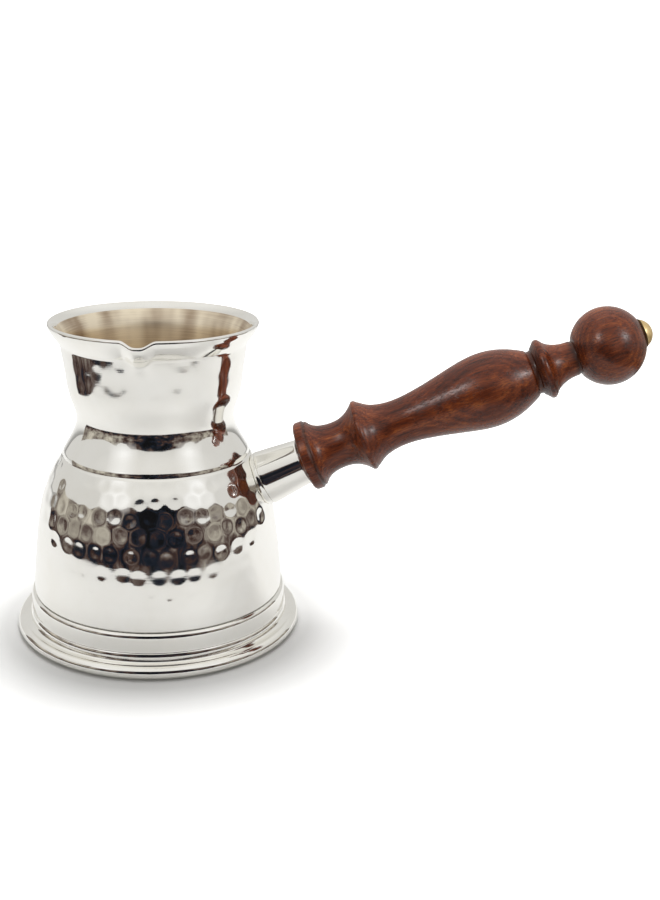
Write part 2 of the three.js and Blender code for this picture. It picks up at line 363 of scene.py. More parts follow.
def effect(tree, group, place, **values):
    """Places a shared group and feeds it the place and its own values."""
    named = {socket.replace("_", " "): value for socket, value in values.items()}
    return node(tree, "ShaderNodeGroup", {"Place": place, **named}, node_tree=group).outputs[0]


def object_place(tree):
    """The point's place on its own piece, in metres."""
    return node(tree, "ShaderNodeTexCoord").outputs["Object"]


def two_colours(tree, amount, low, high):
    """Mixes two colours by a value. The low one may come from another node."""
    if not isinstance(low, bpy.types.NodeSocket):
        low = (*low, 1)
    values = {AMOUNT: amount, FIRST: low, SECOND: (*high, 1)}
    return node(tree, "ShaderNodeMix", values, data_type="RGBA").outputs[MIXED]


def range_of_colours(tree, amount, steps):
    """Colours along a value from 0 to 1. Each step is a value and its colour."""
    ramp = node(tree, "ShaderNodeValToRGB", {0: amount})
    while len(ramp.color_ramp.elements) < len(steps):
        ramp.color_ramp.elements.new(0.5)
    for element, (at, colour) in zip(ramp.color_ramp.elements, steps):
        element.position = at
        element.color = (*colour, 1)
    return ramp.outputs[0]


def bumped(tree, shader, height, strength, depth_mm):
    """Raises the surface by a height value, as far as depth_mm."""
    values = {"Strength": strength, "Distance": depth_mm * MM, "Height": height}
    fill(tree, shader, {"Normal": node(tree, "ShaderNodeBump", values).outputs[0]})


# %% [markdown]
# ## Polished silver
#
# The pot, its foot, the collar and the socket are plated and buffed bright. Polished silver has
# almost no look of its own: it is a mirror that takes a trace of warmth. Four things stop the
# mirror from looking like glass: a low roughness that changes a little with the handling marks,
# slow waves from the buffing wheel, faint turned lines, and hair-line scratches that are far too
# shallow to see one by one.

# %% Polished silver
SILVER_CLEAN, SILVER_HANDLED = (0.94, 0.93, 0.895), (0.91, 0.895, 0.85)
SILVER_ROUGHNESS = 0.045, 0.09
WAVES_PER_M = 170.0


def polished_silver():
    material, tree, shader = new_material("polished silver")
    place = object_place(tree)
    marks = effect(tree, handling_marks, place, Size_mm=14.0)
    scratches = effect(tree, fine_scratches, place, Per_mm=3.0)
    lines = effect(tree, turned_lines, place, Lines_per_mm=1.4)
    colour = two_colours(tree, marks, SILVER_CLEAN, SILVER_HANDLED)
    roughness = ranged(tree, marks, 0, 1, *SILVER_ROUGHNESS)
    fill(tree, shader, {"Metallic": 1.0, "Base Color": colour, "Roughness": roughness})
    waves = noise(tree, place, WAVES_PER_M, 1.0)
    uneven = weighted(tree, (waves, 3.0), (scratches, 0.4), (lines, 0.25))
    bumped(tree, shader, uneven, strength=0.5, depth_mm=0.012)
    return material


silver = polished_silver()
print("finish:", silver.name)

# %% [markdown]
# ## The tinned lining
#
# The inside is not buffed. It keeps the rings of the lathe and a warm grey colour, with paler and
# darker streaks painted down it as painted sheen and painted shade. Because the fine rings all run
# round the pot, a light on it is drawn out into a tall soft streak. The shader's anisotropic setting
# does this once it is told which way the rings run.

# %% Lining
LINING_DULL, LINING_BRIGHT = (0.45, 0.345, 0.25), (0.97, 0.86, 0.68)
LINING_ROUGHNESS = 0.30, 0.40
# Streaks of painted sheen and painted shade, fine across and long down the wall.
SHEEN_STREAKS = (95, 95, 2)  # fine across, long down the wall


def tinned_lining():
    material, tree, shader = new_material("tinned lining")
    place = object_place(tree)
    lines = effect(tree, turned_lines, place, Lines_per_mm=3.2)
    marks = effect(tree, handling_marks, place, Size_mm=18.0)
    around = node(tree, "ShaderNodeTangent", direction_type="RADIAL", axis="Z")
    fill(tree, shader, {"Metallic": 1.0, "Anisotropic": 0.7, "Tangent": around.outputs[0]})
    # Paler and darker streaks down the wall: painted sheen and painted shade.
    painted_sheen = noise(tree, stretched(tree, place, SHEEN_STREAKS), 1.0, 2.0, 0.6)
    shade = ranged(tree, weighted(tree, (lines, 0.3), (painted_sheen, 1.0)), 0.48, 0.80, 0, 1)
    colour = two_colours(tree, shade, LINING_DULL, LINING_BRIGHT)
    fill(tree, shader, {"Base Color": colour, "Roughness": ranged(tree, marks, 0, 1, *LINING_ROUGHNESS)})
    bumped(tree, shader, lines, strength=0.4, depth_mm=0.015)
    return material


lining = tinned_lining()
print("finish:", lining.name)

# %% [markdown]
# ## The pot's outline
#
# The pot is one sheet of metal: a straight seat that stands in the foot ring, a full belly, a
# turned line at the shoulder, a waist, and a neck that turns out into a lip at a sharp crease.
# The outside is drawn first, from the floor up. The places between the named ones are set as
# differences, so that the whole pot follows if a main size changes.

# %% Outline of the outside
POT_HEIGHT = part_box("pot_body")[1].z / MM
WALL = 1.2
SEAT, SEAT_TOP = 39.6, 12.7
CORNER = 4.0
TUCK = 0.4
BELLY, BELLY_START = 40.2, 13.7
SHOULDER_HEIGHT, SHOULDER = 58.1, 29.45
WAIST_HEIGHT, WAIST = 70.0, 24.8
TURNED_LINE, TURNED_DEPTH = 75.8, 0.03
CREASE_HEIGHT, CREASE = 93.5, 29.0
LIP = 32.5
RIM_ROUND, RIM_DEEP = 0.5, 0.7
INSIDE_SKIP = 4  # the inside has one place for so many of the outside


def pot_outside():
    """The outside as separate lines, so that each can be as fine as it needs."""
    corner = arc((SEAT - CORNER, CORNER), (CORNER, CORNER), -90, 0, 9)
    seat = straight((SEAT, CORNER), (SEAT, SEAT_TOP), 1.5)
    tuck = arc((BELLY - TUCK, BELLY_START - 0.25), (TUCK, 0.5), -80, 0, 6)
    belly = curve_through(
        [
            (BELLY, BELLY_START),
            (BELLY - 0.1, 16),
            (BELLY - 0.7, 24),
            (BELLY - 1.6, 32),
            (BELLY - 2.8, 40),
            (BELLY - 5.1, 48),
            (BELLY - 7.0, 52.2),
            (BELLY - 9.3, 56),
            (SHOULDER + 0.45, SHOULDER_HEIGHT - 0.55),
        ],
        0.5,
    )
    step = curve_through(
        [
            (SHOULDER + 0.02, SHOULDER_HEIGHT - 0.25),
            (SHOULDER, SHOULDER_HEIGHT),
            (SHOULDER - 0.22, SHOULDER_HEIGHT + 1.1),
        ],
        0.18,
    )
    neck = curve_through(
        [
            (SHOULDER - 0.42, SHOULDER_HEIGHT + 1.5),
            (WAIST + 2.8, WAIST_HEIGHT - 8),
            (WAIST + 0.8, WAIST_HEIGHT - 4),
            (WAIST, WAIST_HEIGHT),
            (WAIST + 0.85, WAIST_HEIGHT + 4),
            (WAIST + 2.05, WAIST_HEIGHT + 8),
            (CREASE - 1.3, CREASE_HEIGHT - 9.5),
            (CREASE - 0.55, CREASE_HEIGHT - 4),
            (CREASE, CREASE_HEIGHT),
        ],
        0.75,
    )
    neck[:, 0] -= TURNED_DEPTH * (neck[:, 1] < TURNED_LINE)
    flare = curve_through(
        [
            (CREASE + 0.25, CREASE_HEIGHT + 0.3),
            (CREASE + 1.7, CREASE_HEIGHT + 2.2),
            (LIP - 0.35, POT_HEIGHT - 2.0),
        ],
        0.4,
    )
    rim = arc((LIP - RIM_ROUND, POT_HEIGHT - RIM_DEEP), (RIM_ROUND, RIM_DEEP), -25, 90, 12)
    rim_back = curve_through(
        [
            (LIP - RIM_ROUND - 0.2, POT_HEIGHT - 0.03),
            (LIP - 1.2, POT_HEIGHT - 0.4),
            (LIP - 1.9, POT_HEIGHT - 1.1),
            (LIP - 2.5, POT_HEIGHT - 2.1),
        ],
        0.25,
    )
    return joined(corner, seat, tuck, belly, step, neck, flare, rim, rim_back)


def pot_inside():
    """The inside, from the rim down: the same wall, drawn in by the metal's thickness."""
    wall = outside[(outside[:, 1] > 14) & (outside[:, 1] < CREASE_HEIGHT - 2)][::-1]
    wall = wall[::INSIDE_SKIP] - (WALL, 0)
    mouth = curve_through([outside[-1], (CREASE - 0.75, CREASE_HEIGHT + 1.2), wall[0]], 0.6)
    floor_edge = (SEAT - 8, WALL)
    low = curve_through(
        [wall[-1], (SEAT - WALL, 10), (SEAT - WALL - 0.6, 4.5), (SEAT - 5, WALL + 0.2), floor_edge], 0.9
    )
    floor = straight(floor_edge, (1.0, WALL), 3.0)
    return joined(mouth[1:], wall[1:], low[1:], floor[1:])


outside = pot_outside()
inside = pot_inside()
print("the outline has", len(outside), "places outside and", len(inside), "inside")

# %% [markdown]
# ## Hammering
#
# A planishing hammer leaves a round, shallow dish where it lands. The smith works round the pot in
# rows, each blow half a step on from the row below, so the dishes meet in low ridges. Each dish is
# a small bowl pressed into the surface, and where bowls overlap the deeper one wins, which is what
# makes the ridges. The blows are a little uneven in place, size and weight. They are lighter
# towards the foot, and on the neck they are fewer and lighter still.

# %% The blows
SEED = 11
BLOWS_ROUND, BLOW_SCATTER = 42, 0.16
BELLY_ROWS = [  # height, radius and depth of the blows
    (55.4, 2.1, 0.13),
    (51.6, 2.25, 0.14),
    (47.2, 2.5, 0.20),
    (42.0, 2.5, 0.21),
    (36.2, 2.25, 0.17),
    (30.3, 1.95, 0.08),
    (24.9, 1.9, 0.10),
    (20.4, 1.9, 0.085),
]
NECK_BLOWS_ROUND, NECK_BLOW_SCATTER = 24, 0.4
NECK_ROWS = [(height, 2.6, 0.06) for height in (90.2, 86.4, 82.4, 78.6)]
ROW_SPACING = 4


def ring_of_blows(random, height, count, phase, radius, depth, scatter):
    """One row round the pot: angle, height, radius and depth of each blow."""
    angles = (np.arange(count) + phase + random.uniform(-scatter, scatter, count)) * 2 * math.pi / count
    heights = height + random.uniform(-scatter, scatter, count) * ROW_SPACING
    radii = radius * (1 + random.uniform(-0.12, 0.12, count))
    depths = depth * random.uniform(0.75, 1.2, count)
    return np.column_stack([angles, heights, radii, depths])


def all_blows():
    """Every row, from the shoulder down and then down the neck. Every other row is half a step on."""
    random = np.random.RandomState(SEED)
    rows = []
    for table, count, scatter in (
        (BELLY_ROWS, BLOWS_ROUND, BLOW_SCATTER),
        (NECK_ROWS, NECK_BLOWS_ROUND, NECK_BLOW_SCATTER),
    ):
        for number, (height, radius, depth) in enumerate(table):
            rows.append(ring_of_blows(random, height, count, 0.5 * (number % 2), radius, depth, scatter))
    return np.concatenate(rows)


def pressed(points, outline, blows):
    """How far in each point of the outside is pressed, in millimetres."""
    heights, radii = outline[:, 1], outline[:, 0]
    run = np.concatenate([[0], np.cumsum(np.hypot(*np.diff(outline, axis=0).T))])
    depth = np.zeros(points.shape[:2])
    angles = np.arctan2(points[0, :, 1], points[0, :, 0])
    wall = slice(np.searchsorted(heights, 13.0), np.argmax(heights > CREASE_HEIGHT))
    for angle, height, radius, deep in blows:
        middle = np.interp(height, heights[wall], run[wall])
        away = np.angle(np.exp(1j * (angles - angle)))
        rows = np.flatnonzero(np.abs(run - middle) < radius)
        cols = np.flatnonzero(np.abs(away) * np.interp(height, heights[wall], radii[wall]) < radius)
        over = radii[rows][:, None] * away[cols][None, :]
        up = (run[rows] - middle)[:, None]
        bowl = deep * (1 - (over**2 + up**2) / radius**2)
        part = np.ix_(rows, cols)
        depth[part] = np.maximum(depth[part], bowl)
    depth[1:-1] = (depth[:-2] + 2 * depth[1:-1] + depth[2:]) / 4
    return (np.roll(depth, 1, 1) + 2 * depth + np.roll(depth, -1, 1)) / 4


blows = all_blows()
print(len(blows), "hammer blows")

# %% [markdown]
# ## The beak
#
# The beak is pinched out of the finished lip with the fingers of one hand: the edge is pulled out
# and down in a soft V, and the neck swells to meet it. Every point near the front of the lip is
# moved outwards and down, by an amount that falls off to the sides and towards the waist.

# %% Pinch the beak
BEAK_HALF_WIDTH = 5.5
BEAK_FLAT = 0.7
BEAK_REACH = 1.2
BEAK_DIP = 1.7
BEAK_ROOT = 86


def ease(value, low, high):
    """0 below low, 1 above high, and smooth between."""
    share = np.clip((value - low) / (high - low), 0, 1)
    return share * share * (3 - 2 * share)


def pinched(points):
    """The same points with the beak pulled out towards -Y."""
    x, y, z = points[..., 0], points[..., 1], points[..., 2]
    radius = np.hypot(x, y)
    across = np.abs(np.arctan2(x, -y)) * LIP
    fold = ease(-across, -BEAK_HALF_WIDTH, -BEAK_FLAT)
    up = ease(z, BEAK_ROOT, POT_HEIGHT)
    lip = ease(z, BEAK_ROOT, CREASE_HEIGHT)
    out = BEAK_REACH * fold * up
    stretch = 1 + out / np.maximum(radius, 1)
    moved = points.copy()
    moved[..., 0] = x * stretch
    moved[..., 1] = y * stretch
    moved[..., 2] = z - BEAK_DIP * fold * lip
    return moved


# %% Make the pot
POT_SIDES = 344


def make_pot():
    """Outside and inside are one skin, so that the metal has its real thickness."""
    outline = joined(outside, inside)
    points = spun_points(outline, POT_SIDES)
    tangent = np.gradient(outline, axis=0)
    tangent /= np.hypot(*tangent.T)[:, None]
    depth = np.zeros(points.shape[:2])
    depth[: len(outside)] = pressed(points[: len(outside)], outside, blows)
    angles = np.arange(POT_SIDES) * 2 * math.pi / POT_SIDES
    out, up = -tangent[:, 1:], tangent[:, :1]
    inwards = np.stack([out * np.cos(angles), out * np.sin(angles), up + 0 * angles], axis=2)
    points = pinched(points + inwards * depth[..., None])
    inner = (np.arange(len(outline)) >= len(outside) - 1).astype(np.int32)
    return mesh_from_rows("hammered_pot", points, False, [silver, lining], inner)


belongs(make_pot(), "pot_body")

# %% [markdown]
# ## The foot ring
#
# The ring is spun from thicker sheet. A rounded shoulder holds the pot, below it comes a straight
# band, then a small step, a hollow and the rolled edge that stands on the table. The rounded
# places matter most: each one turns through the angle that mirrors the dark of the room, and shows
# as a thin dark line between bright bands.

# %% Make the foot ring
RING_SIDES = 288
RING_INSIDE = SEAT + 0.3
RING_TOP = 12.9
TOP_ROUND, TOP_DEEP = 1.2, 1.7
BAND, BAND_END = 41.3, 7.0
STEP, STEP_END, STEP_ROUND = 41.95, 5.3, 2.3
HOLLOW, HOLLOW_HEIGHT, HOLLOW_DEEP = 43.65, 4.5, 0.55
BEAD_CENTRE, BEAD = 44.05, 2.0


def make_foot_ring():
    """The outside from the top down, then round the bead and back up the inside."""
    top = arc((BAND - TOP_ROUND, RING_TOP - TOP_DEEP), (TOP_ROUND, TOP_DEEP), 95, 0, 14)
    band = straight((BAND, RING_TOP - TOP_DEEP), (BAND, BAND_END), 0.7)
    ledge = arc((STEP - STEP_ROUND, STEP_END), (STEP_ROUND, STEP_ROUND), 43, 0, 14)
    hollow = arc((HOLLOW, HOLLOW_HEIGHT), (HOLLOW - STEP, HOLLOW_DEEP), 180, 258, 12)
    bead = arc((BEAD_CENTRE, BEAD), (BEAD, BEAD), 104, -170, 44)
    under = curve_through([(STEP - 0.2, 1.9), (STEP - 1.2, 4.0), (BAND - 0.6, 5.6), (RING_INSIDE, 6.4)], 0.5)
    inner = straight((RING_INSIDE, 7.2), (RING_INSIDE, RING_TOP - 0.3), 1.0)
    outline = joined(top, band, ledge, hollow, bead, under, inner)[::-1]
    return mesh_from_rows("foot_ring_fine", spun_points(outline, RING_SIDES), True, [silver])


belongs(make_foot_ring(), "foot_ring")

# %% [markdown]
# ## Things on the rising axes
#
# The socket and the handle are turned about slanting lines that start on the pot's axis. It is
# easiest to make each piece along +X, with the distance from the pot's axis as x, and then to tip
# the object up. The two lines differ by three degrees, because the socket is brazed on by eye and
# the wood is fitted to it afterwards.

# %% The two axes
SOCKET_AXIS_HEIGHT, SOCKET_RISE = 32.7, 25.6
HANDLE_AXIS_HEIGHT, HANDLE_RISE = 37.0, 22.5
TURNED_SIDES, SMALL_SIDES = 128, 96


def along(outline, sides):
    """Turns (distance, radius) places about the X axis."""
    upright = spun_points(np.asarray(outline)[:, ::-1], sides)
    return upright[..., [2, 0, 1]]


def tipped_up(piece, height, rise):
    """Tips the mesh of a piece made along +X up to its own rising axis."""
    tip = Matrix.Rotation(-math.radians(rise), 4, "Y")
    piece.data.transform(Matrix.Translation((0, 0, height * MM)) @ tip)
    return piece


def turned_on_handle_axis(name, outline, sides, material, closed=True):
    """A piece turned about the handle's axis."""
    piece = mesh_from_rows(name, along(outline, sides), closed, [material])
    return tipped_up(piece, HANDLE_AXIS_HEIGHT, HANDLE_RISE)


# %% [markdown]
# ## The collar and the socket
#
# The collar is a short tube whose pot end is cut to the shape of the belly, so each line along it
# has its own length. That length is found by walking in from outside until the belly is reached.
# The socket is a long thin cone that butts against the collar, and the joint shows as a hair line.

# %% Make the collar
SOCKET_START, SOCKET_END = 38.6, 52.6
SOCKET_WIDE, SOCKET_NARROW = 8.85, 7.28
COLLAR = 8.6
COLLAR_WALL = 1.4
COLLAR_SUNK = 0.5  # how far it is let into the belly
JOINT_GAP = 0.12
COLLAR_ROWS = [  # how much wider or narrower than the collar, and the share of the way to the joint
    (0.12, 0),
    (0.03, 0.1),
    (0, 0.2),
    (0, 0.6),
    (0, 0.97),
    (-0.04, 1),
    (-0.3, 1),
    (-COLLAR_WALL, 1),
    (-COLLAR_WALL, 0),
]


def depth_of_belly(offset_up, offset_side):
    """Distance along the socket's axis at which a line beside it meets the belly."""
    rise = math.radians(SOCKET_RISE)
    walked = np.arange(SOCKET_START + 4, 25, -0.05)
    x = walked * math.cos(rise) - offset_up * math.sin(rise)
    z = SOCKET_AXIS_HEIGHT + walked * math.sin(rise) + offset_up * math.cos(rise)
    skin = np.interp(z, outside[:, 1], outside[:, 0])
    return walked[np.argmax(np.hypot(x, offset_side) < skin)]


def make_collar():
    """Rows run round the section: the outside from the belly to the joint, then back inside."""
    angles = np.arange(SMALL_SIDES) * 2 * math.pi / SMALL_SIDES
    end = SOCKET_START - JOINT_GAP
    points = np.zeros((len(COLLAR_ROWS), SMALL_SIDES, 3))
    for number, (wider, share) in enumerate(COLLAR_ROWS):
        up, side = (COLLAR + wider) * np.sin(angles), (COLLAR + wider) * np.cos(angles)
        root = np.array([depth_of_belly(u, s) for u, s in zip(up, side)]) - COLLAR_SUNK
        points[number] = np.column_stack([root + (end - root) * share, side, up])
    piece = mesh_from_rows("socket_collar_fine", points, True, [silver])
    return tipped_up(piece, SOCKET_AXIS_HEIGHT, SOCKET_RISE)


belongs(make_collar(), "socket_collar")

# %% Make the socket
SOCKET_WALL = 1.0
SOCKET_EDGE = 0.1  # how round its wide end is
BEVEL = 0.2  # how long the bevel at its narrow end is


def make_socket():
    slope = (SOCKET_NARROW - SOCKET_WIDE) / (SOCKET_END - SOCKET_START)
    edge = SOCKET_START + SOCKET_EDGE
    start = arc((edge, SOCKET_WIDE - SOCKET_EDGE), (SOCKET_EDGE, SOCKET_EDGE), 180, 90, 5)
    outer = straight((edge, SOCKET_WIDE), (SOCKET_END - BEVEL, SOCKET_NARROW - BEVEL * slope), 0.8)
    mouth = (SOCKET_END, SOCKET_NARROW - SOCKET_WALL)
    inner = straight(mouth, (SOCKET_START, SOCKET_WIDE - SOCKET_WALL), 2.0)
    outline = joined(start, outer, [(SOCKET_END, SOCKET_NARROW - 0.15)], inner)
    piece = mesh_from_rows("handle_socket_fine", along(outline, TURNED_SIDES), True, [silver])
    return tipped_up(piece, SOCKET_AXIS_HEIGHT, SOCKET_RISE)


belongs(make_socket(), "handle_socket")

# %% [markdown]
# ## Lacquered wood
#
# The handle is a red-brown hardwood with open pores. In real wood the colour is laid down in
# growth rings, which are tubes round the tree's heart, and a turning cuts through them: it shows
# long streaks along the grip and an eye on the ball. So the rings here are also tubes, about a
# line beside the handle, and the shape does the rest. Fibres and pores are noise drawn out along
# the grain. Three narrow bands at the fine cuts are painted darker, as painted shade in the
# grooves. A clear lacquer lies over it all.

# %% Wood
HEART_ASIDE = (0.036, -0.006)
RING_SPACING = 0.0013
WANDER_SCALE, WANDER = 24.0, 0.004
FIBRES, BROAD_STREAKS, PORES = (90, 2300, 2300), (22, 190, 190), (380, 3300, 3300)
WOOD_COLOURS = [
    (0.0, (0.032, 0.006, 0.002)),
    (0.4, (0.090, 0.017, 0.005)),
    (0.75, (0.165, 0.036, 0.009)),
    (1.0, (0.26, 0.072, 0.016)),
]
PORE_COLOUR, PORE_STRENGTH = (0.024, 0.006, 0.003), 0.75
# The colour and strength of the shade painted into the fine cuts, then the place and half width of each band
# of it.
CUT_SHADE_COLOUR, CUT_SHADE_STRENGTH = (0.018, 0.006, 0.004), 0.72
CUT_SHADE_BANDS = [(54.7, 0.9), (128.3, 2.2), (140.6, 1.6)]  # place along the handle and half width
LACQUER_ROUGHNESS, LACQUER_SHINE = (0.22, 0.31), 0.36


def handle_place(tree):
    """The point's place, with the handle's axis laid along X."""
    rise = math.radians(HANDLE_RISE)
    drop = -HANDLE_AXIS_HEIGHT * MM * math.cos(rise)
    values = {"Vector": object_place(tree), "Rotation": (0, rise, 0), "Location": (0, 0, drop)}
    return node(tree, "ShaderNodeMapping", values).outputs["Vector"]


def wandering(tree, place):
    """The place, moved a little by soft noise, because grain is never quite straight."""
    sway = node(tree, "ShaderNodeTexNoise", {"Vector": place, "Scale": WANDER_SCALE, "Detail": 2.0})
    wander = enlarged(tree, sway.outputs["Color"], WANDER)
    return node(tree, "ShaderNodeVectorMath", {0: place, 1: wander}, operation="ADD").outputs[0]


def growth_rings(tree, grain):
    """Rises to 1 and falls to 0 again across each ring round the tree's heart."""
    split = split_up(tree, grain)
    y = maths(tree, "SUBTRACT", split["Y"], HEART_ASIDE[0])
    z = maths(tree, "SUBTRACT", split["Z"], HEART_ASIDE[1])
    squares = maths(tree, "ADD", maths(tree, "MULTIPLY", y, y), maths(tree, "MULTIPLY", z, z))
    turns = maths(tree, "MULTIPLY", maths(tree, "SQRT", squares), 2 * math.pi / RING_SPACING)
    return ranged(tree, maths(tree, "SINE", turns), -1, 1, 0, 1)


def painted_cut_shade(tree, place):
    """How strong the painted shade of the cuts is: strongest in the middle of each band, and none beside
    them.
    """
    x = split_up(tree, place)["X"]
    cut_shade = None
    for at, half_width in CUT_SHADE_BANDS:
        middle = (at + HANDLE_AXIS_HEIGHT * math.sin(math.radians(HANDLE_RISE))) * MM
        off = apart(tree, x, middle)
        band = ranged(tree, off, 0.2 * half_width * MM, half_width * MM, CUT_SHADE_STRENGTH, 0)
        cut_shade = band if cut_shade is None else maths(tree, "MAXIMUM", cut_shade, band)
    return cut_shade


def lacquered_wood():
    material, tree, shader = new_material("lacquered hardwood")
    place = handle_place(tree)
    grain = wandering(tree, place)
    rings = growth_rings(tree, grain)
    fibres = noise(tree, stretched(tree, grain, FIBRES), 1.0, 4.0, 0.65)
    broad = noise(tree, stretched(tree, grain, BROAD_STREAKS), 1.0, 3.0, 0.55, 0.4)
    pores = noise(tree, stretched(tree, grain, PORES), 1.0, 1.5, 0.5)
    pores = ranged(tree, pores, 0.56, 0.68, 0, 1)
    tone = weighted(tree, (rings, 0.06), (fibres, 0.5), (broad, 0.5))
    colour = range_of_colours(tree, ranged(tree, tone, 0.40, 0.68, 0, 1), WOOD_COLOURS)
    colour = two_colours(tree, maths(tree, "MULTIPLY", pores, PORE_STRENGTH), colour, PORE_COLOUR)
    # Painted shade, laid darker into the three fine cuts.
    colour = two_colours(tree, painted_cut_shade(tree, place), colour, CUT_SHADE_COLOUR)
    marks = effect(tree, handling_marks, place, Size_mm=10.0)
    roughness = ranged(tree, marks, 0, 1, *LACQUER_ROUGHNESS)
    fill(tree, shader, {"Base Color": colour, "Roughness": roughness, "Specular IOR Level": LACQUER_SHINE})
    bumped(tree, shader, weighted(tree, (fibres, 0.5), (pores, -1.0)), strength=0.5, depth_mm=0.04)
    return material


wood = lacquered_wood()
print("finish:", wood.name)

# %% [markdown]
# ## The turned handle
#
# The turner works from left to right: a flared face, a cove, a sharp ridge, a long grip that
# swells towards the hand, a ring, a thin neck and the ball. The outline is a few smooth lines that
# meet in crisp edges. Fine cuts run round the flare, the ridge, the end of the grip, the ring and
# the neck, and each is a small V taken off the outline.

# %% Make the handle
TENON_END, TENON = 43.4, 4.7
HANDLE_START = 51.2
FACE_DEEP, FACE_ROUND = 1.1, 1.3
FLARE, FLARE_LONG = 11.2, 2.7
RIDGE_START, RIDGE = 71.5, 11.45
SWELL_START, SWELL = 112.6, 11.8
RING_START, RING = 130.85, 9.5
BALL_CENTRE, BALL, BALL_HALF_LENGTH = 151.0, 12.13, 11.43
BALL_NECK = 5.5
NUT_SEAT = 161.6
BORE = 2.4
FINE_CUTS = [  # place along the handle, half width and depth
    (54.7, 0.5, 0.45),
    (72.75, 0.3, 0.14),
    (127.1, 0.4, 0.4),
    (128.15, 0.4, 0.45),
    (129.75, 0.25, 0.12),
    (140.75, 0.5, 0.4),
]


def handle_outline():
    """The turned surface, from the face at the socket to the nut's seat on the ball."""
    face_end = HANDLE_START + FACE_DEEP
    face = arc((face_end, FLARE - FACE_ROUND), (FACE_DEEP, FACE_ROUND), 180, 90, 9)
    rim = straight((face_end, FLARE), (HANDLE_START + FLARE_LONG, FLARE), 0.25)
    first_cove = curve_through(
        [
            (HANDLE_START + FLARE_LONG, FLARE),
            (HANDLE_START + 3.3, FLARE - 0.15),
            (HANDLE_START + 5, 9.45),
            (HANDLE_START + 7.9, 7.85),
            (HANDLE_START + 11.4, 7.4),
            (RIDGE_START - 6.6, 7.55),
            (RIDGE_START - 4.7, 8.1),
            (RIDGE_START - 1.9, 9.9),
            (RIDGE_START - 0.5, RIDGE - 0.15),
        ],
        0.25,
    )
    grip = curve_through(
        [
            (RIDGE_START + 0.4, RIDGE - 0.08),
            (RIDGE_START + 1.9, 10.3),
            (RIDGE_START + 3.8, 9.0),
            (RIDGE_START + 7, 7.85),
            (RIDGE_START + 11.5, 7.33),
            (SWELL_START - 22.2, 7.96),
            (SWELL_START - 11, 10.2),
            (SWELL_START, SWELL),
            (SWELL_START + 7.4, 10.58),
            (SWELL_START + 12.8, 8.2),
            (RING_START - 3.7, 7.2),
        ],
        0.3,
    )
    ring = curve_through(
        [
            (RING_START - 2.8, 7.25),
            (RING_START - 1.8, 8.05),
            (RING_START - 0.45, RING - 0.08),
            (RING_START + 0.3, RING - 0.02),
            (RING_START + 1.1, RING - 0.6),
            (RING_START + 1.9, 7.9),
            (RING_START + 3.6, 6.68),
            (RING_START + 7.2, 5.6),
            (RING_START + 9.4, 5.47),
        ],
        0.22,
    )
    neck_angle = 180 - math.degrees(math.asin(BALL_NECK / BALL))
    seat_angle = math.degrees(math.acos((NUT_SEAT - BALL_CENTRE) / BALL_HALF_LENGTH))
    ball = arc((BALL_CENTRE, 0), (BALL_HALF_LENGTH, BALL), neck_angle, seat_angle, 84)
    return joined(face, rim, first_cove, [(RIDGE_START, RIDGE)], grip, ring, ball)


def with_fine_cuts(outline):
    """Takes a small V off the radius at each cut."""
    cut = outline.copy()
    for place, half_width, depth in FINE_CUTS:
        share = np.clip(1 - np.abs(cut[:, 0] - place) / half_width, 0, 1)
        cut[:, 1] -= depth * share
    return cut


def make_handle():
    tenon = straight((TENON_END, TENON), (HANDLE_START, TENON), 1.0)
    bore = straight((NUT_SEAT, BORE), (TENON_END, BORE), 4.0)
    outline = joined(tenon, with_fine_cuts(handle_outline()), bore)
    return turned_on_handle_axis("turned_handle", outline, TURNED_SIDES, wood)


handle = belongs(make_handle(), "wooden_handle")

# %% [markdown]
# ## Brass and steel
#
# The dome nut is turned brass that has been handled, so it is satin rather than bright, and darker
# and redder where the handling marks are. The washer under it is painted almost black, as painted
# shade that draws a dark edge round the nut. The rod is drawn steel, and its anchor is brass like
# the nut. One function makes them all, with the shared effects and other values.

# %% Brass and steel


def satin_metal(name, dull, bright, roughness):
    """A handled metal, from bright and smooth to dull and rough."""
    material, tree, shader = new_material(name)
    place = object_place(tree)
    marks = effect(tree, handling_marks, place, Size_mm=3.0)
    scratches = effect(tree, fine_scratches, place, Per_mm=6.0)
    colour = two_colours(tree, marks, bright, dull)
    roughness = ranged(tree, marks, 0, 1, *roughness)
    fill(tree, shader, {"Metallic": 1.0, "Base Color": colour, "Roughness": roughness})
    bumped(tree, shader, scratches, strength=0.3, depth_mm=0.01)
    return material


brass, steel, shade_dark_brass = [
    satin_metal(name, dull, bright, roughness)
    for name, dull, bright, roughness in (
        ("satin brass", (0.62, 0.44, 0.20), (0.86, 0.67, 0.36), (0.34, 0.48)),
        ("drawn steel", (0.30, 0.30, 0.31), (0.52, 0.52, 0.54), (0.25, 0.45)),
        # The washer's brass is painted almost black, as painted shade at the nut's base.
        ("brass darkened as shade", (0.05, 0.03, 0.015), (0.16, 0.10, 0.05), (0.45, 0.6)),
    )
]
for name, material in (("rod_anchor", brass), ("tie_rod", steel)):
    data = frame["nodes"][name].data
    data.materials.clear()
    data.materials.append(material)
print("finishes:", brass.name, "|", steel.name, "|", shade_dark_brass.name)

# %% Make the washer and the dome nut
WASHER_START, WASHER, WASHER_THICK = NUT_SEAT + 0.05, 4.5, 0.4
WASHER_EDGE = 0.15
NUT_START, NUT, NUT_HEIGHT = NUT_SEAT + 0.55, 4.3, 2.7
NUT_RIM, THREAD_DEPTH = 0.3, 1.4
ROD_HOLE = 2.3


